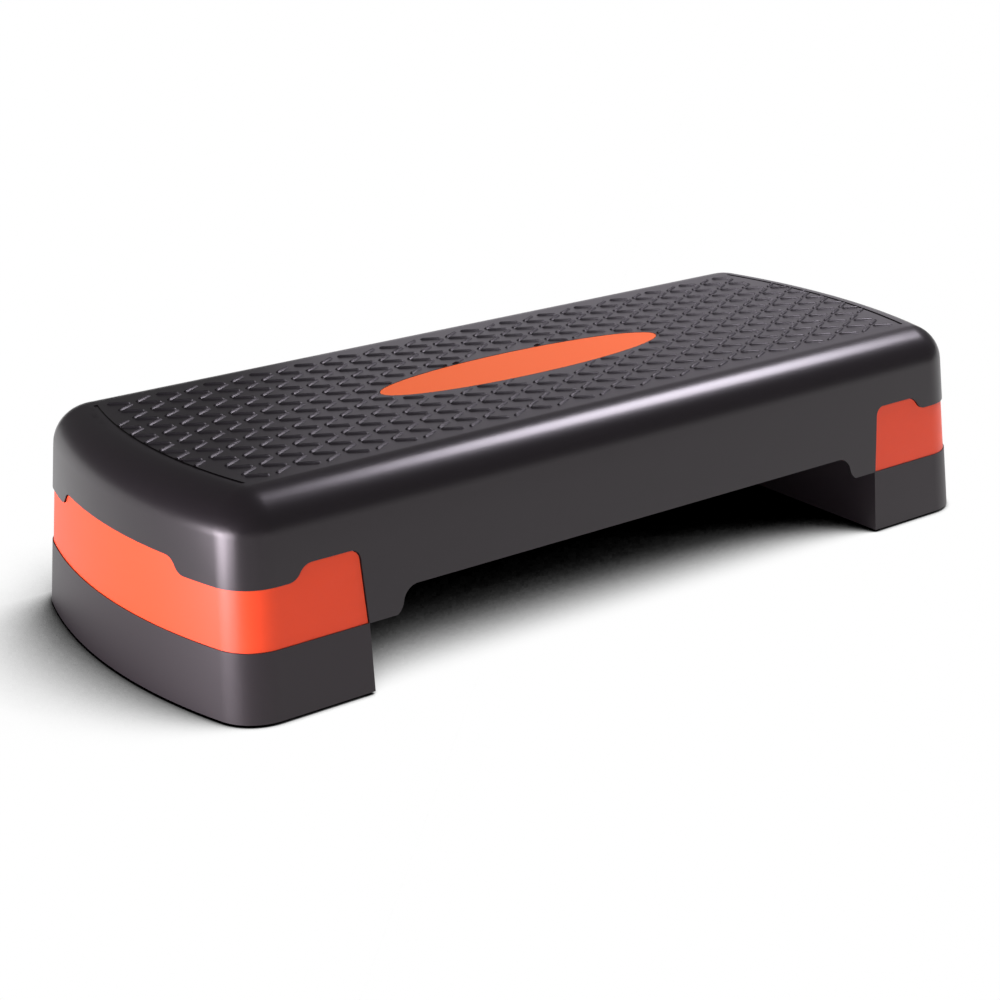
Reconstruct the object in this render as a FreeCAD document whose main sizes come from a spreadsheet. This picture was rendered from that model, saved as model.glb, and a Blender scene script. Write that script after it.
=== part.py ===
import FreeCAD, Part
import math
import os
import Sketcher

# Two-level aerobic step: a moulded deck with an end band at each end, standing on two plug-in risers.
# Millimetres, +X along the length, +Z up, origin on the floor under the middle of the deck.

# Driving dimensions: name, value, what it measures
SIZES = (
    ("base_length", "690", "footprint on the floor along X"),
    ("base_width", "286", "footprint on the floor along Y"),
    ("overall_height", "145", "floor to the top of the deck"),
    ("riser_height", "48", "floor to the seam between riser and band"),
    ("draft_angle", "5", "lean of every outer wall, in degrees"),
    ("end_bow", "25", "how far each end bulges out between its corners"),
    ("corner_radius", "32", "rounding of the upright corners"),
    ("edge_radius", "28", "rounding of the deck's top edge"),
    ("edge_limit_share", "0.88", "most of the corner radius that the top edge may take"),
    ("cut_overrun", "6", "how far every cutting shape runs past the face it cuts"),
    ("deck_wall", "2.8", "thickness of the deck's skirt"),
    ("deck_top_wall", "3.4", "thickness of the deck's top"),
    ("groove_margin", "0.7", "rolled edge to the groove at each end of the tread"),
    ("groove_width", "2.8", "width of that groove"),
    ("groove_depth", "1.5", "depth of that groove"),
    ("groove_stop", "5", "end of that groove to the side of the level top"),
    ("skirt_rise", "17.5", "arch of the skirt between the ears, above the band's foot"),
    ("ear_flat", "14.5", "band's inner edge to the start of an ear's curve"),
    ("ear_toe", "2", "start of that curve below the ear's foot"),
    ("ear_run", "24", "run of that curve up to the arch"),
    ("band_depth", "116.5", "end of the footprint to the band's inner edge"),
    ("tab_rise", "50", "top of the band's tabs above its foot"),
    ("tab_drop", "10", "step from the tabs down to the band's corners"),
    ("tab_run", "18", "run of the curve down that step"),
    ("side_tab", "28", "level top of each side tab"),
    ("end_tab", "134", "level top of the tab on the end"),
    ("notch_lean", "2.5", "lean of the notch's inner edge over its height"),
    ("notch_round", "7", "rounding at the notch's inner top corner"),
    ("rib_thickness", "2", "ribs under the deck and inside the risers"),
    ("rib_depth", "24", "deck ribs below the top wall"),
    ("rib_edge", "51", "outermost long rib to the side of the footprint"),
    ("band_inset", "1.2", "step from the deck's face in to the band"),
    ("band_wall", "3", "thickness of the band's wall"),
    ("band_floor", "3.2", "thickness of the band's floor"),
    ("seam_gap", "0.5", "open seam between the band and the deck"),
    ("tower_radius", "6.5", "screw towers in the band and bosses in the deck"),
    ("tower_bore", "4.5", "radius of the well for the screw's head"),
    ("tower_web", "4", "web at the top of a tower, under the deck's boss"),
    ("tower_end", "33", "outer towers to the end of the footprint"),
    ("tower_inner", "31.5", "inner towers to the band's inner edge"),
    ("screw_radius", "1.9", "shank of a band screw"),
    ("screw_head", "3.8", "radius of a screw's head"),
    ("screw_head_height", "2.4", "height of a screw's head"),
    ("screw_bite", "14", "length of a screw inside the deck's boss"),
    ("screw_clearance", "0.2", "screw shank to the hole in the web"),
    ("pilot_clearance", "0.05", "screw shank to the pilot hole"),
    ("pilot_spare", "2", "pilot hole beyond the screw's tip"),
    ("riser_inset", "0.4", "step from the deck's face in to the riser"),
    ("riser_wall", "3", "thickness of the riser's wall"),
    ("riser_top_wall", "3", "thickness of the riser's top"),
    ("riser_rib_lift", "5", "riser ribs above the riser's lower edge"),
    ("plug_length", "34", "plug along X"),
    ("plug_width", "22", "plug along Y"),
    ("plug_height", "14", "plug above the riser's top"),
    ("plug_corner", "4", "corner rounding of a plug"),
    ("plug_wall", "2.4", "wall of a plug and of the collar round it"),
    ("plug_clearance", "0.4", "plug to the socket's wall"),
    ("plug_inner", "43.5", "middle of a plug to the band's inner edge"),
    ("plug_edge", "63", "middle of a plug to the side of the footprint"),
    ("foot_radius", "9", "rubber foot where it meets its boss"),
    ("foot_base_radius", "8.4", "rubber foot where it meets the floor"),
    ("foot_height", "2", "rubber foot below its boss"),
    ("stem_radius", "3", "stem of a rubber foot"),
    ("stem_length", "9", "stem of a rubber foot above its disc"),
    ("stem_clearance", "0.1", "stem to its hole, all round and at the tip"),
    ("foot_boss_wall", "4.4", "boss round a foot's stem"),
    ("foot_end", "43", "outer feet to the end of the footprint"),
    ("foot_inner", "19.5", "inner feet to the band's inner edge"),
    ("foot_edge", "35", "feet to the side of the footprint"),
    ("cup_clearance", "0.5", "band foot to its cup in the riser's top"),
    ("cup_wall", "2.2", "wall and bottom of that cup"),
    ("badge_length", "248", "oval plate along X"),
    ("badge_width", "55", "oval plate along Y"),
    ("badge_recess", "1.2", "depth of the oval's recess below the deck's top"),
    ("badge_thickness", "1.1", "thickness of the oval plate"),
    ("badge_clearance", "0.7", "oval plate to the edge of its recess"),
)

# Counts
LONG_RIBS = 5
CROSS_RIBS = 13

os.makedirs("parts", exist_ok=True)
doc = FreeCAD.newDocument("aerobic_step")
sheet = doc.addObject("Spreadsheet::Sheet", "Sizes")
for row, (alias, number, meaning) in enumerate(SIZES, start=1):
    sheet.set("A%d" % row, meaning)
    sheet.set("B%d" % row, number)
    sheet.setAlias("B%d" % row, alias)
doc.recompute()


class Size:
    """A length worked out from the sheet: its present value and the expression that keeps it bound."""

    def __init__(self, value, text):
        self.value = value
        self.text = text

    def join(self, other, sign, value):
        return Size(value, "(%s %s %s)" % (self.text, sign, getattr(other, "text", other)))

    def __add__(self, other):
        return self.join(other, "+", self.value + number_of(other))

    def __sub__(self, other):
        return self.join(other, "-", self.value - number_of(other))

    def __mul__(self, other):
        return self.join(other, "*", self.value * number_of(other))

    def __truediv__(self, other):
        return self.join(other, "/", self.value / number_of(other))

    def __neg__(self):
        return Size(-self.value, "(-1 * %s)" % self.text)


def number_of(thing):
    """The plain number in a Size, or a plain share or count as it is."""
    return getattr(thing, "value", thing)


def cell(alias):
    """One cell of the sheet."""
    return Size(float(sheet.get(alias)), "Sizes." + alias)


def smaller(first, second):
    """The smaller of two sizes."""
    return Size(min(first.value, second.value), "min(%s; %s)" % (first.text, second.text))


def function_of_angle(name, angle):
    """Sine, cosine or tangent of an angle in degrees."""
    return Size(getattr(math, name)(math.radians(angle.value)), "%s(%s)" % (name, angle.text))


# Values that several pieces share
half_length = cell("base_length") / 2
half_width = cell("base_width") / 2
overrun = cell("cut_overrun")
height = cell("overall_height")
foot_plane = cell("riser_height")
floor_gap = cell("foot_height")
slope = function_of_angle("tan", cell("draft_angle"))
bow_radius = (half_width * half_width + cell("end_bow") * cell("end_bow")) / (cell("end_bow") * 2)
bow_centre = half_length - bow_radius
edge_radius = smaller(cell("edge_radius"), cell("corner_radius") * cell("edge_limit_share"))
band_inner = half_length - cell("band_depth")
tab_top = foot_plane + cell("tab_rise")
corner_top = tab_top - cell("tab_drop")
rib_bottom = height - cell("deck_top_wall") - cell("rib_depth")
rib_spread = half_width - cell("rib_edge")
tower_far = half_length - cell("tower_end")
tower_near = band_inner + cell("tower_inner")
foot_far = half_length - cell("foot_end")
foot_near = band_inner + cell("foot_inner")
foot_side = half_width - cell("foot_edge")
plug_along = band_inner + cell("plug_inner")
plug_side = half_width - cell("plug_edge")
stem_hole = cell("stem_radius") + cell("stem_clearance")
boss_radius = stem_hole + cell("foot_boss_wall")


def bind(thing, **properties):
    """Tie properties of an object to the sheet."""
    for name, length in properties.items():
        thing.setExpression(name, length.text)


def place(thing, along, across, level):
    """Tie an object's place to the sheet."""
    thing.setExpression("Placement.Base.x", along.text)
    thing.setExpression("Placement.Base.y", across.text)
    thing.setExpression("Placement.Base.z", level.text)


def new_sketch(body, name, role, offset=None):
    """A sketch on one of its body's own origin planes, moved along the plane's normal by offset."""
    sketch = body.newObject("Sketcher::SketchObject", name)
    plane = next(feature for feature in body.Origin.OriginFeatures if feature.Role == role)
    sketch.AttachmentSupport = [(plane, "")]
    sketch.MapMode = "FlatFace"
    if offset is not None:
        sketch.setExpression("AttachmentOffset.Base.z", offset.text)
    return sketch


def dimension(sketch, kind, *places_and_size):
    """Add a dimension to a sketch and bind it to the sheet."""
    *places, length = places_and_size
    index = sketch.addConstraint(Sketcher.Constraint(kind, *places, length.value))
    sketch.setExpression("Constraints[%d]" % index, length.text)


def arc(centre_x, centre_y, radius, start, end):
    """An arc, anticlockwise from start to end, angles in radians."""
    circle = Part.Circle(FreeCAD.Vector(centre_x, centre_y, 0), FreeCAD.Vector(0, 0, 1), radius)
    return Part.ArcOfCircle(circle, start, end)


def bowed_outline(body, name, level, inset):
    """The step's plan at one level, before its corners are rounded: straight sides and bowed ends."""
    sketch = new_sketch(body, name, "XY_Plane", level)
    side = half_width - inset
    bow = bow_radius - inset
    reach = bow_centre.value + math.sqrt(bow.value ** 2 - side.value ** 2)
    turn = math.atan2(side.value, reach - bow_centre.value)
    back = (FreeCAD.Vector(reach, side.value, 0), FreeCAD.Vector(-reach, side.value, 0))
    front = (FreeCAD.Vector(-reach, -side.value, 0), FreeCAD.Vector(reach, -side.value, 0))
    right_bow = sketch.addGeometry(arc(bow_centre.value, 0, bow.value, -turn, turn))
    back_side = sketch.addGeometry(Part.LineSegment(*back))
    left_bow = sketch.addGeometry(arc(-bow_centre.value, 0, bow.value, math.pi - turn, math.pi + turn))
    front_side = sketch.addGeometry(Part.LineSegment(*front))
    loop = [right_bow, back_side, left_bow, front_side]
    for first, second in zip(loop, loop[1:] + loop[:1]):
        sketch.addConstraint(Sketcher.Constraint("Coincident", first, 2, second, 1))
    for line in (back_side, front_side):
        sketch.addConstraint(Sketcher.Constraint("Horizontal", line))
    for end in (right_bow, left_bow):
        sketch.addConstraint(Sketcher.Constraint("PointOnObject", end, 3, -1))
        dimension(sketch, "Radius", end, bow)
    dimension(sketch, "DistanceX", -1, 1, right_bow, 3, bow_centre)
    dimension(sketch, "DistanceX", left_bow, 3, -1, 1, bow_centre)
    dimension(sketch, "DistanceY", -1, 1, back_side, 1, side)
    dimension(sketch, "DistanceY", front_side, 1, -1, 1, side)
    return sketch


def end_strips(body, name, level, outer, width, span):
    """A strip along the bow at each end of the step, as wide as given, between two lines across."""
    sketch = new_sketch(body, name, "XY_Plane", level)
    inner = outer - width
    for sign, facing in ((1, 0), (-1, math.pi)):
        bows = []
        reaches = []
        for bow in (outer, inner):
            turn = math.asin(span.value / bow.value)
            reaches.append(sign * (bow_centre.value + bow.value * math.cos(turn)))
            curve = arc(sign * bow_centre.value, 0, bow.value, facing - turn, facing + turn)
            bows.append(sketch.addGeometry(curve))
            sketch.addConstraint(Sketcher.Constraint("PointOnObject", bows[-1], 3, -1))
            dimension(sketch, "Radius", bows[-1], bow)
            if sign > 0:
                dimension(sketch, "DistanceX", -1, 1, bows[-1], 3, bow_centre)
            else:
                dimension(sketch, "DistanceX", bows[-1], 3, -1, 1, bow_centre)
        for side in (-1, 1):
            ends = [FreeCAD.Vector(reach, side * span.value, 0) for reach in reaches]
            line = sketch.addGeometry(Part.LineSegment(*ends))
            bow_mark = 2 if side * sign > 0 else 1
            for line_mark, bow in enumerate(bows, start=1):
                sketch.addConstraint(Sketcher.Constraint("Coincident", line, line_mark, bow, bow_mark))
            sketch.addConstraint(Sketcher.Constraint("Horizontal", line))
            if side > 0:
                dimension(sketch, "DistanceY", -1, 1, line, 1, span)
            else:
                dimension(sketch, "DistanceY", line, 1, -1, 1, span)
    return sketch


def closed_profile(sketch, corners):
    """A closed loop of lines and arcs through corners of (x, y, bend to the next corner).

    A bend is None for a straight line, or (radius, 1) for an arc that turns left and (radius, -1) for right.
    """
    count = len(corners)
    pieces = []
    for index, (x, y, bend) in enumerate(corners):
        next_x, next_y, _ = corners[(index + 1) % count]
        start = FreeCAD.Vector(x.value, y.value, 0)
        end = FreeCAD.Vector(next_x.value, next_y.value, 0)
        if bend is None:
            pieces.append(sketch.addGeometry(Part.LineSegment(start, end)))
            continue
        radius, hand = bend
        chord = end - start
        rise = math.sqrt(radius.value ** 2 - (chord.Length / 2) ** 2)
        across = FreeCAD.Vector(-chord.y, chord.x, 0).normalize()
        centre = start + chord * 0.5 + across * (rise * hand)
        first, last = (start, end) if hand > 0 else (end, start)
        begin = math.atan2(first.y - centre.y, first.x - centre.x)
        finish = math.atan2(last.y - centre.y, last.x - centre.x)
        pieces.append(sketch.addGeometry(arc(centre.x, centre.y, radius.value, begin, finish)))
    for index, (x, y, bend) in enumerate(corners):
        start_mark = 1 if bend is None or bend[1] > 0 else 2
        before = corners[index - 1][2]
        end_mark = 2 if before is None or before[1] > 0 else 1
        sketch.addConstraint(Sketcher.Constraint("Coincident", pieces[index - 1], end_mark, pieces[index], start_mark))
        dimension(sketch, "DistanceX", -1, 1, pieces[index], start_mark, x)
        dimension(sketch, "DistanceY", -1, 1, pieces[index], start_mark, y)
        if bend is not None:
            dimension(sketch, "Radius", pieces[index], bend[0])


def swept_radius(run, rise):
    """Radius of the two equal arcs that make a level-to-level S of this run and rise."""
    return (run * run + rise * rise) / (rise * 4)


def drafted_block(name, low, high, inset, corner):
    """A body with the step's leaning outer walls between two levels, drawn in by inset."""
    body = doc.addObject("PartDesign::Body", name)
    pad = body.newObject("PartDesign::Pad", name + "_pad")
    pad.Profile = bowed_outline(body, name + "_plan", low, low * slope + inset)
    bind(pad, Length=high - low)
    doc.recompute()
    facing = [face.normalAt(0, 0).z for face in pad.Shape.Faces]
    draft = body.newObject("PartDesign::Draft", name + "_draft")
    draft.Base = (pad, ["Face%d" % index for index, up in enumerate(facing, start=1) if up == 0])
    draft.NeutralPlane = (pad, ["Face%d" % index for index, up in enumerate(facing, start=1) if up < 0])
    bind(draft, Angle=cell("draft_angle"))
    doc.recompute()
    return body, rounded_edges(body, draft, name + "_corners", (low, high), corner)


def rounded_edges(body, base, name, levels, radius):
    """Round the edges of a feature that have an end at each of these levels and none elsewhere."""
    wanted = {round(level.value, 3) for level in levels}
    edges = []
    for index, edge in enumerate(base.Shape.Edges, start=1):
        if {round(vertex.Z, 3) for vertex in edge.Vertexes} == wanted:
            edges.append("Edge%d" % index)
    fillet = body.newObject("PartDesign::Fillet", name)
    fillet.Base = (base, edges)
    bind(fillet, Radius=radius)
    body.Tip = fillet
    doc.recompute()
    return fillet


def box(name, low_corner, lengths):
    """A box from its low corner and its three lengths."""
    block = doc.addObject("Part::Box", name)
    along, across, up = lengths
    bind(block, Length=along, Width=across, Height=up)
    place(block, *low_corner)
    return block


def cylinder(name, along, across, level, radius, length):
    """An upright cylinder from the middle of its lower face."""
    rod = doc.addObject("Part::Cylinder", name)
    bind(rod, Radius=radius, Height=length)
    place(rod, along, across, level)
    return rod


def rounded_block(name, along, across, low, high, growth):
    """A block on a plug's plan, grown all round, between two levels."""
    body = doc.addObject("PartDesign::Body", name)
    sketch = new_sketch(body, name + "_plan", "XY_Plane", low)
    corner = cell("plug_corner") + growth
    left = along - cell("plug_length") / 2 - growth
    right = along + cell("plug_length") / 2 + growth
    front = across - cell("plug_width") / 2 - growth
    back = across + cell("plug_width") / 2 + growth
    closed_profile(sketch, [
        (left + corner, front, None), (right - corner, front, (corner, 1)),
        (right, front + corner, None), (right, back - corner, (corner, 1)),
        (right - corner, back, None), (left + corner, back, (corner, 1)),
        (left, back - corner, None), (left, front + corner, (corner, 1)),
    ])
    pad = body.newObject("PartDesign::Pad", name + "_pad")
    pad.Profile = sketch
    bind(pad, Length=high - low)
    return body


def oval(name, length, width, level, thickness):
    """An upright oval disc."""
    ellipse = doc.addObject("Part::Ellipse", name + "_outline")
    bind(ellipse, MajorRadius=length / 2, MinorRadius=width / 2)
    ellipse.setExpression("Placement.Base.z", level.text)
    disc = doc.addObject("Part::Extrusion", name)
    disc.Base = ellipse
    disc.DirMode = "Custom"
    disc.Dir = FreeCAD.Vector(0, 0, 1)
    disc.Solid = True
    bind(disc, LengthFwd=thickness)
    return disc


def joined(name, shapes):
    """Several shapes as one."""
    fuse = doc.addObject("Part::MultiFuse", name)
    fuse.Shapes = shapes
    return fuse


def cut(name, base, tool):
    """One shape less another."""
    result = doc.addObject("Part::Cut", name)
    result.Base = base
    result.Tool = tool
    return result


def common(name, base, tool):
    """What two shapes share."""
    result = doc.addObject("Part::Common", name)
    result.Base = base
    result.Tool = tool
    return result


def mirrored(name, source):
    """The same shape at the other end of the step."""
    copy = doc.addObject("Part::Mirroring", name)
    copy.Source = source
    copy.Normal = FreeCAD.Vector(1, 0, 0)
    return copy


def both_sides(distance):
    """A place at the front and its twin at the back."""
    return (-distance, distance)


def end_notch(name, gap):
    """The space at the left end that the band fills, drawn in by gap."""
    body = doc.addObject("PartDesign::Body", name)
    side = new_sketch(body, name + "_side", "XZ_Plane")
    low = foot_plane - overrun
    top = tab_top - gap
    step = corner_top - gap
    inner = -band_inner - gap
    beyond = -half_length - overrun
    round_start = inner - cell("notch_lean")
    round_end = round_start - cell("notch_round")
    tab_end = round_end - cell("side_tab") + gap
    step_end = tab_end - cell("tab_run")
    sweep = swept_radius(cell("tab_run"), cell("tab_drop"))
    middle = (top + step) / 2
    closed_profile(side, [
        (inner, low, None), (round_start, top - cell("notch_round"), (cell("notch_round"), 1)),
        (round_end, top, None), (tab_end, top, (sweep, 1)),
        (tab_end - cell("tab_run") / 2, middle, (sweep, -1)), (step_end, step, None),
        (beyond, step, None), (beyond, low, None),
    ])
    side_pad = body.newObject("PartDesign::Pad", name + "_side_pad")
    side_pad.Profile = side
    side_pad.Midplane = True
    bind(side_pad, Length=cell("base_width") + overrun * 2)
    end_start = half_length - cell("end_bow") - cell("corner_radius")
    end = new_sketch(body, name + "_end", "YZ_Plane", -end_start)
    level_half = cell("end_tab") / 2 - gap
    foot_half = level_half + cell("tab_run")
    bend_half = level_half + cell("tab_run") / 2
    closed_profile(end, [
        (-foot_half, step - overrun, None), (foot_half, step - overrun, None),
        (foot_half, step, (sweep, -1)), (bend_half, middle, (sweep, 1)),
        (level_half, top, None), (-level_half, top, (sweep, 1)),
        (-bend_half, middle, (sweep, -1)), (-foot_half, step, None),
    ])
    end_pad = body.newObject("PartDesign::Pad", name + "_end_pad")
    end_pad.Profile = end
    end_pad.Reversed = True
    bind(end_pad, Length=half_length + overrun - end_start)
    body.Tip = end_pad
    return body


def skirt_arch():
    """The space under the skirt between the ears."""
    body = doc.addObject("PartDesign::Body", "skirt_arch")
    sketch = new_sketch(body, "skirt_arch_side", "XZ_Plane")
    ear_end = band_inner - cell("ear_flat")
    bend = ear_end - cell("ear_run") / 2
    arch_end = ear_end - cell("ear_run")
    low = foot_plane - overrun
    toe = foot_plane - cell("ear_toe")
    top = foot_plane + cell("skirt_rise")
    middle = (toe + top) / 2
    sweep = swept_radius(cell("ear_run"), top - toe)
    closed_profile(sketch, [
        (-ear_end, low, None), (ear_end, low, None),
        (ear_end, toe, (sweep, -1)), (bend, middle, (sweep, 1)),
        (arch_end, top, None), (-arch_end, top, (sweep, 1)),
        (-bend, middle, (sweep, -1)), (-ear_end, toe, None),
    ])
    pad = body.newObject("PartDesign::Pad", "skirt_arch_pad")
    pad.Profile = sketch
    pad.Midplane = True
    bind(pad, Length=cell("base_width") + overrun * 2)
    return body


def tower_places(near, far):
    """The four screw places at the left end."""
    return [(-along, across) for along in (near, far) for across in both_sides(rib_spread / 2)]


def foot_places():
    """The four rubber feet at the left end."""
    return [(-along, across) for along in (foot_near, foot_far) for across in both_sides(foot_side)]


def deck_blank():
    """The deck's outside: leaning walls, a rolled top edge and a groove at each end of the tread."""
    body, upright = drafted_block("deck_blank", foot_plane, height, height * 0, cell("corner_radius"))
    rounded_edges(body, upright, "deck_blank_edge", (height,), edge_radius)
    sine = function_of_angle("sin", cell("draft_angle"))
    cosine = function_of_angle("cos", cell("draft_angle"))
    roll_start = height - edge_radius + edge_radius * sine
    flat_inset = roll_start * slope + edge_radius * cosine
    outer = bow_radius - flat_inset - cell("groove_margin")
    span = half_width - flat_inset - cell("groove_stop")
    grooves = body.newObject("PartDesign::Pocket", "tread_grooves")
    grooves.Profile = end_strips(body, "tread_groove_plan", height, outer, cell("groove_width"), span)
    bind(grooves, Length=cell("groove_depth"))
    body.Tip = grooves
    return body


def deck_ribs():
    """The lattice of ribs under the deck's top, with the bosses that take the band screws."""
    depth = height - rib_bottom
    thick = cell("rib_thickness")
    solids = []
    for index in range(LONG_RIBS):
        across = rib_spread * (2 * index / (LONG_RIBS - 1) - 1)
        corner = (-half_length, across - thick / 2, rib_bottom)
        solids.append(box("deck_long_rib_%d" % (index + 1), corner, (cell("base_length"), thick, depth)))
    for index in range(CROSS_RIBS):
        along = tower_far * (2 * index / (CROSS_RIBS - 1) - 1)
        corner = (along - thick / 2, -half_width, rib_bottom)
        solids.append(box("deck_cross_rib_%d" % (index + 1), corner, (thick, cell("base_width"), depth)))
    for index, (along, across) in enumerate(tower_places(tower_near, tower_far), start=1):
        for end, sign in (("left", 1), ("right", -1)):
            name = "deck_%s_boss_%d" % (end, index)
            solids.append(cylinder(name, along * sign, across, rib_bottom, cell("tower_radius"), depth))
    return joined("deck_ribs", solids)


def pilot_holes():
    """The holes in the deck's bosses that the band screws bite into."""
    radius = cell("screw_radius") + cell("pilot_clearance")
    length = overrun + cell("screw_bite") + cell("pilot_spare")
    holes = []
    for index, (along, across) in enumerate(tower_places(tower_near, tower_far), start=1):
        for end, sign in (("left", 1), ("right", -1)):
            name = "deck_%s_pilot_%d" % (end, index)
            holes.append(cylinder(name, along * sign, across, rib_bottom - overrun, radius, length))
    return holes


def make_deck(left_notch, right_notch):
    """The moulded deck: one shell with its skirt, ears, rib lattice and screw bosses."""
    blank = deck_blank()
    wall = cell("deck_wall")
    ceiling = height - cell("deck_top_wall")
    core, upright = drafted_block("deck_core", foot_plane - overrun, ceiling, wall, cell("corner_radius") - wall)
    rounded_edges(core, upright, "deck_core_edge", (ceiling,), edge_radius - wall)
    cavity = cut("deck_cavity", core, deck_ribs())
    clear = cell("badge_clearance")
    recess_floor = height - cell("badge_recess")
    recess = oval("badge_recess_space", cell("badge_length") + clear * 2, cell("badge_width") + clear * 2,
                  recess_floor, cell("badge_recess") + overrun)
    arched = cut("deck_arched", blank, skirt_arch())
    left_cut = cut("deck_left_cut", arched, left_notch)
    both_cut = cut("deck_both_cut", left_cut, right_notch)
    recessed = cut("deck_recessed", both_cut, recess)
    hollowed = cut("deck_hollowed", recessed, cavity)
    return cut("deck", hollowed, joined("deck_pilots", pilot_holes()))


def make_band(left_notch):
    """The left end band: a tray whose wall fills the deck's notch, with screw towers and sockets."""
    inset = cell("band_inset")
    wall = cell("band_wall")
    corner = cell("corner_radius") - inset
    blank, _ = drafted_block("band_blank", foot_plane, tab_top, inset, corner)
    trimmed = common("band_trimmed", blank, left_notch)
    floor_top = foot_plane + cell("band_floor")
    core, _ = drafted_block("band_core", floor_top, tab_top + overrun, inset + wall, corner - wall)
    inner_wall = band_inner + cell("seam_gap") + cell("notch_lean") + wall
    keep_out = box("band_inner_side", (-inner_wall, -half_width, foot_plane),
                   (half_length + inner_wall, cell("base_width"), height))
    solids = [cut("band_tray", trimmed, cut("band_hollow", core, keep_out))]
    holes = []
    web_bottom = rib_bottom - cell("tower_web")
    for index, (along, across) in enumerate(tower_places(tower_near, tower_far), start=1):
        solids.append(cylinder("band_tower_%d" % index, along, across, foot_plane,
                               cell("tower_radius"), rib_bottom - foot_plane))
        holes.append(cylinder("band_well_%d" % index, along, across, foot_plane - overrun,
                              cell("tower_bore"), web_bottom - foot_plane + overrun))
        holes.append(cylinder("band_screw_hole_%d" % index, along, across, web_bottom - overrun,
                              cell("screw_radius") + cell("screw_clearance"), cell("tower_web") + overrun * 2))
    stem_depth = cell("stem_length") + cell("stem_clearance")
    for index, (along, across) in enumerate(foot_places(), start=1):
        solids.append(cylinder("band_foot_boss_%d" % index, along, across, foot_plane,
                               boss_radius, stem_depth + cell("band_floor")))
        holes.append(cylinder("band_stem_hole_%d" % index, along, across, foot_plane - overrun,
                              stem_hole, stem_depth + overrun))
    socket = cell("plug_clearance")
    collar_top = foot_plane + cell("plug_height")
    for index, across in enumerate(both_sides(plug_side), start=1):
        solids.append(rounded_block("band_collar_%d" % index, -plug_along, across, foot_plane,
                                    collar_top, socket + cell("plug_wall")))
        holes.append(rounded_block("band_socket_%d" % index, -plug_along, across, foot_plane - overrun,
                                   collar_top + overrun, socket))
    return cut("left_band", joined("band_solids", solids), joined("band_holes", holes))


def make_riser():
    """The left riser: a box open below, ribbed inside, with two plugs and four cups on its top."""
    inset = cell("riser_inset")
    wall = cell("riser_wall")
    corner = cell("corner_radius") - inset
    ceiling = foot_plane - cell("riser_top_wall")
    blank, _ = drafted_block("riser_blank", floor_gap, foot_plane, inset, corner)
    core, _ = drafted_block("riser_core", floor_gap - overrun, ceiling, inset + wall, corner - wall)
    deep = foot_plane + overrun * 2
    outside = box("riser_inner_side", (-band_inner, -half_width, -overrun),
                  (half_length + band_inner, cell("base_width"), deep))
    inside = box("riser_inner_wall", (-band_inner - wall, -half_width, -overrun * 2),
                 (half_length + band_inner + wall, cell("base_width"), deep + overrun))
    ribs = []
    rib_low = floor_gap + cell("riser_rib_lift")
    thick = cell("rib_thickness")
    for index in range(LONG_RIBS):
        across = rib_spread * (2 * index / (LONG_RIBS - 1) - 1)
        ribs.append(box("riser_long_rib_%d" % (index + 1), (-half_length, across - thick / 2, rib_low),
                        (half_length, thick, foot_plane - rib_low)))
    middle = (band_inner + half_length) / 2
    ribs.append(box("riser_cross_rib", (-middle - thick / 2, -half_width, rib_low),
                    (thick, cell("base_width"), foot_plane - rib_low)))
    holes = []
    stem_depth = cell("stem_length") + cell("stem_clearance")
    cup_radius = cell("foot_radius") + cell("cup_clearance")
    cup_depth = cell("foot_height") + cell("cup_clearance")
    for index, (along, across) in enumerate(foot_places(), start=1):
        ribs.append(cylinder("riser_foot_boss_%d" % index, along, across, floor_gap,
                             boss_radius, foot_plane - floor_gap))
        ribs.append(cylinder("riser_cup_%d" % index, along, across, foot_plane - cup_depth - cell("cup_wall"),
                             cup_radius + cell("cup_wall"), cup_depth + cell("cup_wall")))
        holes.append(cylinder("riser_stem_hole_%d" % index, along, across, floor_gap - overrun,
                              stem_hole, stem_depth + overrun))
        holes.append(cylinder("riser_cup_space_%d" % index, along, across, foot_plane - cup_depth,
                              cup_radius, cup_depth + overrun))
    plugs = []
    plug_top = foot_plane + cell("plug_height")
    for index, across in enumerate(both_sides(plug_side), start=1):
        plugs.append(rounded_block("riser_plug_%d" % index, -plug_along, across, ceiling,
                                   plug_top, cell("plug_wall") * 0))
        holes.append(rounded_block("riser_plug_space_%d" % index, -plug_along, across, ceiling,
                                   plug_top - cell("plug_wall"), -cell("plug_wall")))
    block = cut("riser_block", blank, outside)
    space = cut("riser_space", cut("riser_hollow", core, inside), joined("riser_ribs", ribs))
    return cut("left_riser", joined("riser_solids", [block] + plugs), joined("riser_holes", [space] + holes))


def make_foot(name, along, across, level):
    """A rubber foot: a low disc with a stem that pushes into its boss."""
    disc = doc.addObject("Part::Cone", name + "_disc")
    bind(disc, Radius1=cell("foot_base_radius"), Radius2=cell("foot_radius"), Height=cell("foot_height"))
    place(disc, along, across, level)
    stem_low = level + cell("foot_height") / 2
    stem = cylinder(name + "_stem", along, across, stem_low, cell("stem_radius"),
                    cell("stem_length") + cell("foot_height") / 2)
    return joined(name, [disc, stem])


def make_feet():
    """Four feet under each riser, and four under each band for the low setting."""
    feet = []
    levels = (("riser", floor_gap - cell("foot_height")), ("band", foot_plane - cell("foot_height")))
    for end, sign in (("left", 1), ("right", -1)):
        for carrier, level in levels:
            for index, (along, across) in enumerate(foot_places(), start=1):
                name = "%s_%s_foot_%d" % (end, carrier, index)
                feet.append(make_foot(name, along * sign, across, level))
    return feet


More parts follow.
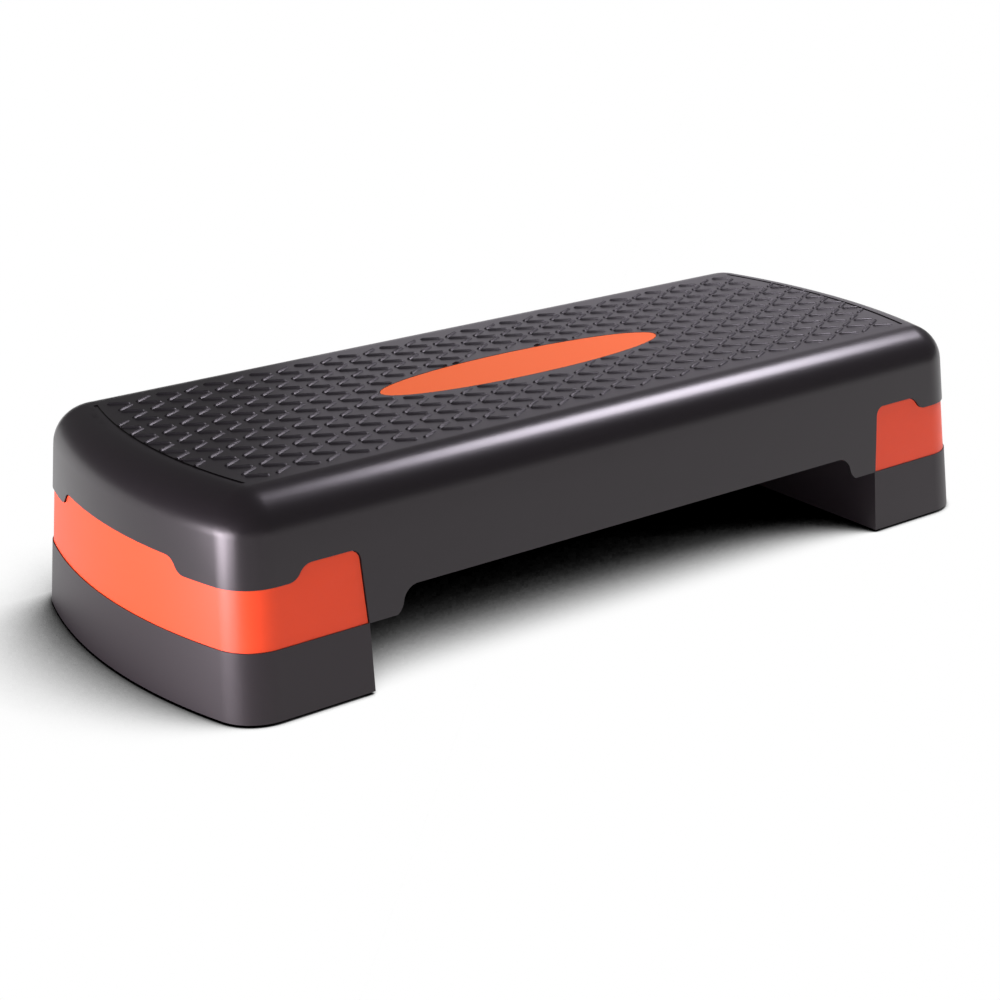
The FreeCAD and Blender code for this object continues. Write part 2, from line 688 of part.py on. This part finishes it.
def make_screws(end, sign):
    """The four self-tapping screws that hold one band to the deck."""
    seat = rib_bottom - cell("tower_web")
    screws = []
    for index, (along, across) in enumerate(tower_places(tower_near, tower_far), start=1):
        name = "%s_screw_%d" % (end, index)
        head = cylinder(name + "_head", along * sign, across, seat - cell("screw_head_height"),
                        cell("screw_head"), cell("screw_head_height"))
        shank = cylinder(name + "_shank", along * sign, across, seat - cell("screw_head_height") / 2,
                         cell("screw_radius"),
                         cell("screw_head_height") / 2 + cell("tower_web") + cell("screw_bite"))
        screws.append(joined(name, [head, shank]))
    group = doc.addObject("Part::Compound", "%s_band_screws" % end)
    group.Links = screws
    return group


def make_badge():
    """The plain oval plate in the middle of the tread."""
    seat = height - cell("badge_recess")
    return oval("badge_plate", cell("badge_length"), cell("badge_width"), seat, cell("badge_thickness"))


notch = end_notch("deck_left_notch", cell("seam_gap") * 0)
deck = make_deck(notch, mirrored("deck_right_notch", notch))
left_band = make_band(end_notch("band_left_notch", cell("seam_gap")))
left_riser = make_riser()
pieces = [deck, make_badge(), left_band, mirrored("right_band", left_band)]
pieces += [left_riser, mirrored("right_riser", left_riser)]
pieces += make_feet()
pieces += [make_screws("left", 1), make_screws("right", -1)]
for piece in pieces:
    piece.Label = piece.Name
doc.recompute()

# Nothing is written unless every object is sound
for item in doc.Objects:
    if "Invalid" in item.State or "Error" in item.State:
        raise RuntimeError("%s did not build" % item.Name)
for piece in pieces:
    if piece.Shape.isNull() or not piece.Shape.isValid() or not piece.Shape.Solids:
        raise RuntimeError("%s is not a sound solid" % piece.Name)
for piece in pieces:
    piece.Shape.exportStep("parts/%s.step" % piece.Label)
    print("%-22s %2d solid  %8.1f cm3" % (piece.Label, len(piece.Shape.Solids), piece.Shape.Volume / 1000))
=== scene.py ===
import math

import bpy
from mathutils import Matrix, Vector


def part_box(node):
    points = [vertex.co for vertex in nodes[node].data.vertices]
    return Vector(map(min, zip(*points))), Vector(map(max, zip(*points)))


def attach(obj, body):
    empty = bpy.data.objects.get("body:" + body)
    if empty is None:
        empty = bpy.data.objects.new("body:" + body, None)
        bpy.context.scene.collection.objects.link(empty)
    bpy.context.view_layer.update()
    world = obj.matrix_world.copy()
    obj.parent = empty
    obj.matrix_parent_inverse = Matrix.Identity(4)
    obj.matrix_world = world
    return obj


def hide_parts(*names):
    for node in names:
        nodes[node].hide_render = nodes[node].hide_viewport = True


# Aerobic step: a black moulded deck with a tread of slanting bars, orange end bands and black risers.
# Metres, in the frame of the CAD part: +X along the step, +Y to the back, +Z up, floor at zero.

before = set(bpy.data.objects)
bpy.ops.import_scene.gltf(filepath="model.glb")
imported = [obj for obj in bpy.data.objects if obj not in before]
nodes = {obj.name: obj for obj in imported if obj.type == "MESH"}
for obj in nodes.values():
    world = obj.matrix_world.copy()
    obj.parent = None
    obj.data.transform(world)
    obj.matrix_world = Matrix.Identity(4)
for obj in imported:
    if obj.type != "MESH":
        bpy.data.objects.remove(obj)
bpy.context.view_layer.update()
MM = 0.001

# Bars of the tread, each with a root that goes into the deck and sides that slope in towards its top
BAR_PITCH_X = 18.5 * MM
BAR_PITCH_Y = 10.3 * MM
BAR_LENGTH = 16.5 * MM
BAR_WIDTH = 4.0 * MM
BAR_HEIGHT = 1.2 * MM
BAR_ROOT = 0.3 * MM
BAR_SLOPE = 1.4 * MM
BAR_SIDES = 12
BAR_LEAN = math.radians(28)
BAR_SMOOTH_ANGLE = math.radians(20)

# The field that the bars fill, with bowed ends and an oval left clear; a bar whose middle comes
# nearer to an edge of the field than BAR_KEPT is left out
TREAD_HALF_WIDTH = 99 * MM
TREAD_BOW_CENTRE = 76.5 * MM
TREAD_BOW_RADIUS = 379 * MM
OVAL_BORDER = 3 * MM
BAR_KEPT = 1.5 * MM
TRIM_SIDES = 192
TRIM_DEPTH = 20 * MM

# The grooves just outside the bowed ends of the field
GROOVE_RADIUS = 381 * MM
GROOVE_REACH = 2 * MM
GROOVE_HALF_SPAN = 102 * MM
GROOVE_LIFT = 0.8 * MM
GROOVE_DEEPEST = 1.6 * MM

# Smoothing of the moulded pieces
MERGE_DISTANCE = 0.002 * MM
SMOOTH_ANGLE = math.radians(32)

# Surface of the plastics: a slightly warm gloss and the fine grain of a spark-eroded mould
GLOSS_TINT = (1, 0.93, 0.96, 1)
GRAIN_SIZE = 0.9 * MM
GRAIN_DEPTH = 0.015 * MM
GRAIN_DETAIL = 2
BADGE_GRAIN_SIZE = 0.7 * MM
TREAD_GRAIN_DEPTH = 0.02 * MM

# The photograph's view
CAMERA_PLACE = Vector((-0.8731, -1.1548, 0.5754))
CAMERA_AZIMUTH = math.radians(-38.417)
CAMERA_ELEVATION = math.radians(20.672)
CAMERA_LENS_MM = 74.45
CAMERA_SENSOR_MM = 36.0
CAMERA_SHIFT = (-0.0702, 0.0107)

# Floor, with a painted shadow: a wide one away from the light and a narrow one where the step stands
FLOOR_SIZE = 30
FLOOR_GREY = 0.8
SHADOW_SIDE = (0.55, -0.4, 0.75)
SHADOW_REACH = 0.75
SHADOW_DARK = 0.33
SHADOW_CLEAR = 0.75
SHADOW_SAMPLES = 32
CONTACT_REACH = 8 * MM
CONTACT_DARK = 0.4
CONTACT_CLEAR = 0.8

# Brightness of the room round the step
SURROUND = 0.13


def pick(piece):
    """Leave one object selected and active."""
    bpy.ops.object.select_all(action="DESELECT")
    piece.select_set(True)
    bpy.context.view_layer.objects.active = piece


def added(name):
    """Name the object that an operator has just added."""
    piece = bpy.context.active_object
    piece.name = name
    piece.data.name = name
    return piece


def settle(piece):
    """Put a piece's place, turn and size into its mesh."""
    pick(piece)
    bpy.ops.object.transform_apply(location=True, rotation=True, scale=True)


def apply_modifier(piece, kind, **settings):
    """Add a modifier, set it up and apply it."""
    pick(piece)
    modifier = piece.modifiers.new(kind.lower(), kind)
    for key, value in settings.items():
        setattr(modifier, key, value)
    bpy.ops.object.modifier_apply(modifier=modifier.name)


def smooth_copy(node, name):
    """A merged and smoothly shaded copy of a CAD node, to stand for it."""
    piece = bpy.data.objects.new(name, nodes[node].data.copy())
    piece.data.name = name
    bpy.context.scene.collection.objects.link(piece)
    pick(piece)
    bpy.ops.mesh.customdata_custom_splitnormals_clear()
    bpy.ops.object.mode_set(mode="EDIT")
    bpy.ops.mesh.select_all(action="SELECT")
    bpy.ops.mesh.remove_doubles(threshold=MERGE_DISTANCE)
    bpy.ops.object.mode_set(mode="OBJECT")
    bpy.ops.object.shade_smooth_by_angle(angle=SMOOTH_ANGLE)
    return piece


def moulded_plastic(name, colour, roughness, grain_size=GRAIN_SIZE, grain_depth=GRAIN_DEPTH):
    """Moulded plastic with a fine grain."""
    material = bpy.data.materials.new(name)
    material.use_nodes = True
    tree = material.node_tree
    shader = tree.nodes["Principled BSDF"]
    shader.inputs["Base Color"].default_value = (*colour, 1)
    shader.inputs["Roughness"].default_value = roughness
    shader.inputs["Specular Tint"].default_value = GLOSS_TINT
    place = tree.nodes.new("ShaderNodeTexCoord")
    grain = tree.nodes.new("ShaderNodeTexNoise")
    grain.inputs["Scale"].default_value = 1 / grain_size
    grain.inputs["Detail"].default_value = GRAIN_DETAIL
    bump = tree.nodes.new("ShaderNodeBump")
    bump.inputs["Strength"].default_value = 1
    bump.inputs["Distance"].default_value = grain_depth
    tree.links.new(place.outputs["Object"], grain.inputs["Vector"])
    tree.links.new(grain.outputs["Fac"], bump.inputs["Height"])
    tree.links.new(bump.outputs["Normal"], shader.inputs["Normal"])
    return material


def plain(name, colour, roughness, metallic=0):
    """One colour and one gloss all over."""
    material = bpy.data.materials.new(name)
    material.use_nodes = True
    shader = material.node_tree.nodes["Principled BSDF"]
    shader.inputs["Base Color"].default_value = (*colour, 1)
    shader.inputs["Roughness"].default_value = roughness
    shader.inputs["Metallic"].default_value = metallic
    return material


def paint(piece, material):
    """Give a piece one material."""
    piece.data.materials.clear()
    piece.data.materials.append(material)


def select_vertices(piece, wanted):
    """Go into edit mode with just the wanted vertices of a piece selected."""
    pick(piece)
    bpy.ops.object.mode_set(mode="EDIT")
    bpy.ops.mesh.select_mode(type="VERT")
    bpy.ops.mesh.select_all(action="DESELECT")
    bpy.ops.object.mode_set(mode="OBJECT")
    for vertex in piece.data.vertices:
        vertex.select = wanted(vertex.co)
    bpy.ops.object.mode_set(mode="EDIT")


def model_bar():
    """One bar of the tread along X: round-ended, with sloping sides and a softened top."""
    bpy.ops.object.select_all(action="DESELECT")
    bpy.ops.mesh.primitive_cylinder_add(
        vertices=BAR_SIDES,
        radius=BAR_WIDTH / 2,
        depth=BAR_HEIGHT + BAR_ROOT,
        rotation=(0, 0, math.pi / BAR_SIDES),
    )
    bar = added("tread_bar")
    settle(bar)
    reach = (BAR_LENGTH - BAR_WIDTH) / 2
    select_vertices(bar, lambda place: place.x > 0)
    bpy.ops.transform.translate(value=(reach, 0, 0))
    bpy.ops.object.mode_set(mode="OBJECT")
    select_vertices(bar, lambda place: place.x < 0)
    bpy.ops.transform.translate(value=(-reach, 0, 0))
    bpy.ops.object.mode_set(mode="OBJECT")
    select_vertices(bar, lambda place: place.z > 0)
    along = 1 - 2 * BAR_SLOPE / BAR_LENGTH
    across = 1 - 2 * BAR_SLOPE / BAR_WIDTH
    bpy.ops.transform.resize(value=(along, across, 1))
    bpy.ops.mesh.bevel(offset=BAR_SLOPE / 2, segments=1, affect="EDGES")
    bpy.ops.object.mode_set(mode="OBJECT")
    return bar


def trim(piece, operation, radius, place, stretch=1):
    """Cut a piece by an upright round or oval block."""
    bpy.ops.object.select_all(action="DESELECT")
    bpy.ops.mesh.primitive_cylinder_add(
        vertices=TRIM_SIDES,
        radius=radius,
        depth=TRIM_DEPTH,
        location=place,
    )
    block = added("trimming_block")
    block.scale = (1, stretch, 1)
    settle(block)
    apply_modifier(piece, "BOOLEAN", operation=operation, object=block, solver="MANIFOLD")
    bpy.data.objects.remove(block)


def trim_to_tread(piece, oval, level):
    """Cut a piece off at the bowed ends of the tread and round the oval."""
    for side in (-1, 1):
        trim(piece, "INTERSECT", TREAD_BOW_RADIUS, (-side * TREAD_BOW_CENTRE, 0, level))
    trim(piece, "DIFFERENCE", oval.x, (0, 0, level), oval.y / oval.x)


def bar_places(oval):
    """Column and row of every bar whose middle lies well inside the field, clear of the oval."""
    columns = math.ceil((TREAD_BOW_RADIUS - TREAD_BOW_CENTRE) / BAR_PITCH_X)
    rows = math.floor((TREAD_HALF_WIDTH - BAR_WIDTH) / BAR_PITCH_Y)
    for row in range(-rows, rows + 1):
        for column in range(-columns, columns + 1):
            x = column * BAR_PITCH_X
            y = row * BAR_PITCH_Y
            from_bow = math.hypot(abs(x) + TREAD_BOW_CENTRE, y)
            from_oval = math.hypot(x / (oval.x + BAR_KEPT), y / (oval.y + BAR_KEPT))
            if from_bow < TREAD_BOW_RADIUS - BAR_KEPT and from_oval > 1:
                yield column, row


def model_bars(oval, level):
    """All bars of the tread in one piece, leaning left and right by turns."""
    bar = model_bar()
    bars = []
    for column, row in bar_places(oval):
        copy = bpy.data.objects.new("tread_bar_copy", bar.data.copy())
        bpy.context.scene.collection.objects.link(copy)
        middle = level + (BAR_HEIGHT - BAR_ROOT) / 2
        copy.location = (column * BAR_PITCH_X, row * BAR_PITCH_Y, middle)
        copy.rotation_euler = (0, 0, BAR_LEAN if (column + row) % 2 else -BAR_LEAN)
        bars.append(copy)
    bpy.data.objects.remove(bar)
    pick(bars[0])
    for copy in bars[1:]:
        copy.select_set(True)
    bpy.ops.object.join()
    tread = added("tread_bars")
    settle(tread)
    return tread


def ease_groove(deck, level):
    """Raise the floor of the grooves at the tread's ends, which look shallow in the photograph."""
    def on_floor(place):
        from_bow = math.hypot(abs(place.x) + TREAD_BOW_CENTRE, place.y)
        along_bow = abs(from_bow - GROOVE_RADIUS) < GROOVE_REACH
        between_rims = abs(place.y) < GROOVE_HALF_SPAN
        at_depth = GROOVE_LIFT < level - place.z < GROOVE_DEEPEST
        return along_bow and between_rims and at_depth

    select_vertices(deck, on_floor)
    bpy.ops.transform.translate(value=(0, 0, GROOVE_LIFT))
    bpy.ops.object.mode_set(mode="OBJECT")


def soft_box(name, place, target, width, height, watts, colour=(1, 1, 1)):
    """A studio soft box that points at a place."""
    bpy.ops.object.select_all(action="DESELECT")
    bpy.ops.object.light_add(type="AREA", location=place)
    lamp = added(name)
    lamp.data.shape = "RECTANGLE"
    lamp.data.size = width
    lamp.data.size_y = height
    lamp.data.energy = watts
    lamp.data.color = colour
    aim = Vector(target) - Vector(place)
    lamp.rotation_euler = aim.to_track_quat("-Z", "Y").to_euler()
    lamp.visible_camera = False
    return lamp


def largest(tree, *values):
    """The largest of several values in a node tree."""
    total = values[0]
    for value in values[1:]:
        pair = tree.nodes.new("ShaderNodeMath")
        pair.operation = "MAXIMUM"
        tree.links.new(total, pair.inputs[0])
        tree.links.new(value, pair.inputs[1])
        total = pair.outputs["Value"]
    return total


def measure_openness(tree, reach):
    """A node that tells how much of the space within a reach of the floor is open."""
    openness = tree.nodes.new("ShaderNodeAmbientOcclusion")
    openness.inputs["Distance"].default_value = reach
    return openness


def fade_shadow(tree, openness, dark, clear):
    """A shadow that goes from 0, at the openness named dark, to 1, at the one named clear."""
    fade = tree.nodes.new("ShaderNodeMapRange")
    fade.interpolation_type = "SMOOTHSTEP"
    fade.inputs["From Min"].default_value = dark
    fade.inputs["From Max"].default_value = clear
    tree.links.new(openness.outputs["AO"], fade.inputs["Value"])
    return fade.outputs["Result"]


def lay_floor():
    """A pale floor that the camera sees as white, with a painted shadow in its glow where the step
    shuts out the light.
    """
    bpy.ops.object.select_all(action="DESELECT")
    bpy.ops.mesh.primitive_plane_add(size=FLOOR_SIZE)
    floor = added("studio_floor")
    material = bpy.data.materials.new("floor_white")
    material.use_nodes = True
    tree = material.node_tree
    shader = tree.nodes["Principled BSDF"]
    shader.inputs["Roughness"].default_value = 1
    shader.inputs["Specular IOR Level"].default_value = 0
    shader.inputs["Base Color"].default_value = (FLOOR_GREY, FLOOR_GREY, FLOOR_GREY, 1)
    side = tree.nodes.new("ShaderNodeCombineXYZ")
    for socket, value in zip(side.inputs, SHADOW_SIDE):
        socket.default_value = value
    wide = measure_openness(tree, SHADOW_REACH)
    wide.samples = SHADOW_SAMPLES
    tree.links.new(side.outputs["Vector"], wide.inputs["Normal"])
    shadow = fade_shadow(tree, wide, SHADOW_DARK, SHADOW_CLEAR)
    near = measure_openness(tree, CONTACT_REACH)
    contact = fade_shadow(tree, near, CONTACT_DARK, CONTACT_CLEAR)
    both = tree.nodes.new("ShaderNodeMath")
    both.operation = "MULTIPLY"
    tree.links.new(shadow, both.inputs[0])
    tree.links.new(contact, both.inputs[1])
    ray = tree.nodes.new("ShaderNodeLightPath").outputs
    seen = largest(tree, ray["Is Camera Ray"], ray["Is Glossy Ray"], ray["Is Transmission Ray"])
    # The floor's glow carries the painted shadow and painted contact shade, made from how open each
    # place is rather than cast by the lamps, and mirrors show it too
    glow = tree.nodes.new("ShaderNodeEmission")
    tree.links.new(both.outputs["Value"], glow.inputs["Strength"])
    blend = tree.nodes.new("ShaderNodeMixShader")
    tree.links.new(seen, blend.inputs[0])
    tree.links.new(shader.outputs["BSDF"], blend.inputs[1])
    tree.links.new(glow.outputs["Emission"], blend.inputs[2])
    tree.links.new(blend.outputs["Shader"], tree.nodes["Material Output"].inputs["Surface"])
    paint(floor, material)


def light_world():
    """A dark room; white all round for the camera, and below the horizon for mirrored rays."""
    world = bpy.data.worlds.new("studio")
    bpy.context.scene.world = world
    world.use_nodes = True
    tree = world.node_tree
    backdrop = tree.nodes["Background"]
    backdrop.inputs["Color"].default_value = (1, 1, 1, 1)
    ray = tree.nodes.new("ShaderNodeLightPath").outputs
    way = tree.nodes.new("ShaderNodeSeparateXYZ")
    tree.links.new(tree.nodes.new("ShaderNodeTexCoord").outputs["Generated"], way.inputs["Vector"])
    low = tree.nodes.new("ShaderNodeMath")
    low.operation = "LESS_THAN"
    low.inputs[1].default_value = 0
    tree.links.new(way.outputs["Z"], low.inputs[0])
    mirrored = tree.nodes.new("ShaderNodeMath")
    mirrored.operation = "MULTIPLY"
    tree.links.new(ray["Is Glossy Ray"], mirrored.inputs[0])
    tree.links.new(low.outputs["Value"], mirrored.inputs[1])
    seen = largest(tree, ray["Is Camera Ray"], ray["Is Transmission Ray"], mirrored.outputs["Value"])
    level = tree.nodes.new("ShaderNodeMapRange")
    level.inputs["To Min"].default_value = SURROUND
    level.inputs["To Max"].default_value = 1
    tree.links.new(seen, level.inputs["Value"])
    tree.links.new(level.outputs["Result"], backdrop.inputs["Strength"])


def place_camera():
    """The camera at the photograph's angle."""
    bpy.ops.object.select_all(action="DESELECT")
    bpy.ops.object.camera_add(location=CAMERA_PLACE)
    camera = added("photo_camera")
    across = math.cos(CAMERA_ELEVATION)
    look = Vector((
        -math.sin(CAMERA_AZIMUTH) * across,
        math.cos(CAMERA_AZIMUTH) * across,
        -math.sin(CAMERA_ELEVATION),
    ))
    camera.rotation_euler = look.to_track_quat("-Z", "Y").to_euler()
    camera.data.sensor_width = CAMERA_SENSOR_MM
    camera.data.lens = CAMERA_LENS_MM
    camera.data.shift_x, camera.data.shift_y = CAMERA_SHIFT
    bpy.context.scene.camera = camera


# Finishes
deck_black = moulded_plastic("deck_black", colour=(0.0135, 0.0108, 0.0128), roughness=0.3)
tread_black = moulded_plastic(
    "tread_black",
    colour=(0.02, 0.0175, 0.0212),
    roughness=0.44,
    grain_depth=TREAD_GRAIN_DEPTH,
)
riser_black = moulded_plastic("riser_black", colour=(0.0165, 0.0122, 0.0148), roughness=0.42)
band_orange = moulded_plastic("band_orange", colour=(1, 0.072, 0.012), roughness=0.42)
badge_orange = moulded_plastic(
    "badge_orange",
    colour=(1, 0.14, 0.01),
    roughness=0.5,
    grain_size=BADGE_GRAIN_SIZE,
)
foot_rubber = plain("foot_rubber", colour=(0.02, 0.02, 0.02), roughness=0.85)
screw_zinc = plain("screw_zinc", colour=(0.6, 0.6, 0.58), roughness=0.35, metallic=1)

# Moulded pieces, smoothed: CAD node, name, body, material slot and finish
SMOOTHED = (
    ("deck", "deck_moulding", "deck", "deck_plastic", deck_black),
    ("badge_plate", "oval_plate", "deck", "badge_plastic", badge_orange),
    ("left_band", "left_end_band", "deck", "band_plastic", band_orange),
    ("right_band", "right_end_band", "deck", "band_plastic", band_orange),
    ("left_riser", "left_riser_box", "left_riser", "riser_plastic", riser_black),
    ("right_riser", "right_riser_box", "right_riser", "riser_plastic", riser_black),
)
deck_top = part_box("deck")[1].z
for node, name, body, slot, finish in SMOOTHED:
    moulding = smooth_copy(node, name)
    if node == "deck":
        ease_groove(moulding, deck_top)
    paint(moulding, finish)
    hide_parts(node)
    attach(moulding, body)

# Tread
badge_low, badge_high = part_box("badge_plate")
tread_oval = (badge_high - badge_low) / 2 + Vector((OVAL_BORDER, OVAL_BORDER, 0))
tread_bars = model_bars(tread_oval, deck_top)
trim_to_tread(tread_bars, tread_oval, deck_top)
pick(tread_bars)
bpy.ops.object.shade_smooth_by_angle(angle=BAR_SMOOTH_ANGLE)
paint(tread_bars, tread_black)
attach(tread_bars, "deck")

# Feet and screws keep the shapes of their CAD nodes
for node, piece in nodes.items():
    if "foot" in node:
        paint(piece, foot_rubber)
    elif "screws" in node:
        paint(piece, screw_zinc)

# Stage
bpy.context.scene.view_settings.view_transform = "Standard"
lay_floor()
light_world()
soft_box(
    "key_box",
    place=(1.15, 0.02, 1.6),
    target=(0, -0.12, 0.14),
    width=0.7,
    height=0.72,
    watts=34,
    colour=(0.97, 0.94, 1.05),
)
soft_box(
    "left_strip",
    place=(-1.15, -0.1, 0.075),
    target=(-0.3, -0.1, 0.075),
    width=0.8,
    height=0.14,
    watts=8,
    colour=(1, 0.94, 1.03),
)
soft_box(
    "corner_strip",
    place=(-0.78, -0.075, 0.05),
    target=(-0.32, -0.11, 0.06),
    width=0.2,
    height=0.1,
    watts=1.1,
    colour=(1, 0.94, 1.03),
)
soft_box(
    "back_panel",
    place=(1.3, 1.4, 0.6),
    target=(0.1, 0, 0.1),
    width=1.2,
    height=0.8,
    watts=1.8,
    colour=(1, 0.94, 1.05),
)
front_fill = soft_box(
    "front_fill",
    place=(-0.9, -2.4, 1.9),
    target=(0, 0, 0.1),
    width=4.5,
    height=3.0,
    watts=23,
)
front_fill.visible_glossy = False
place_camera()
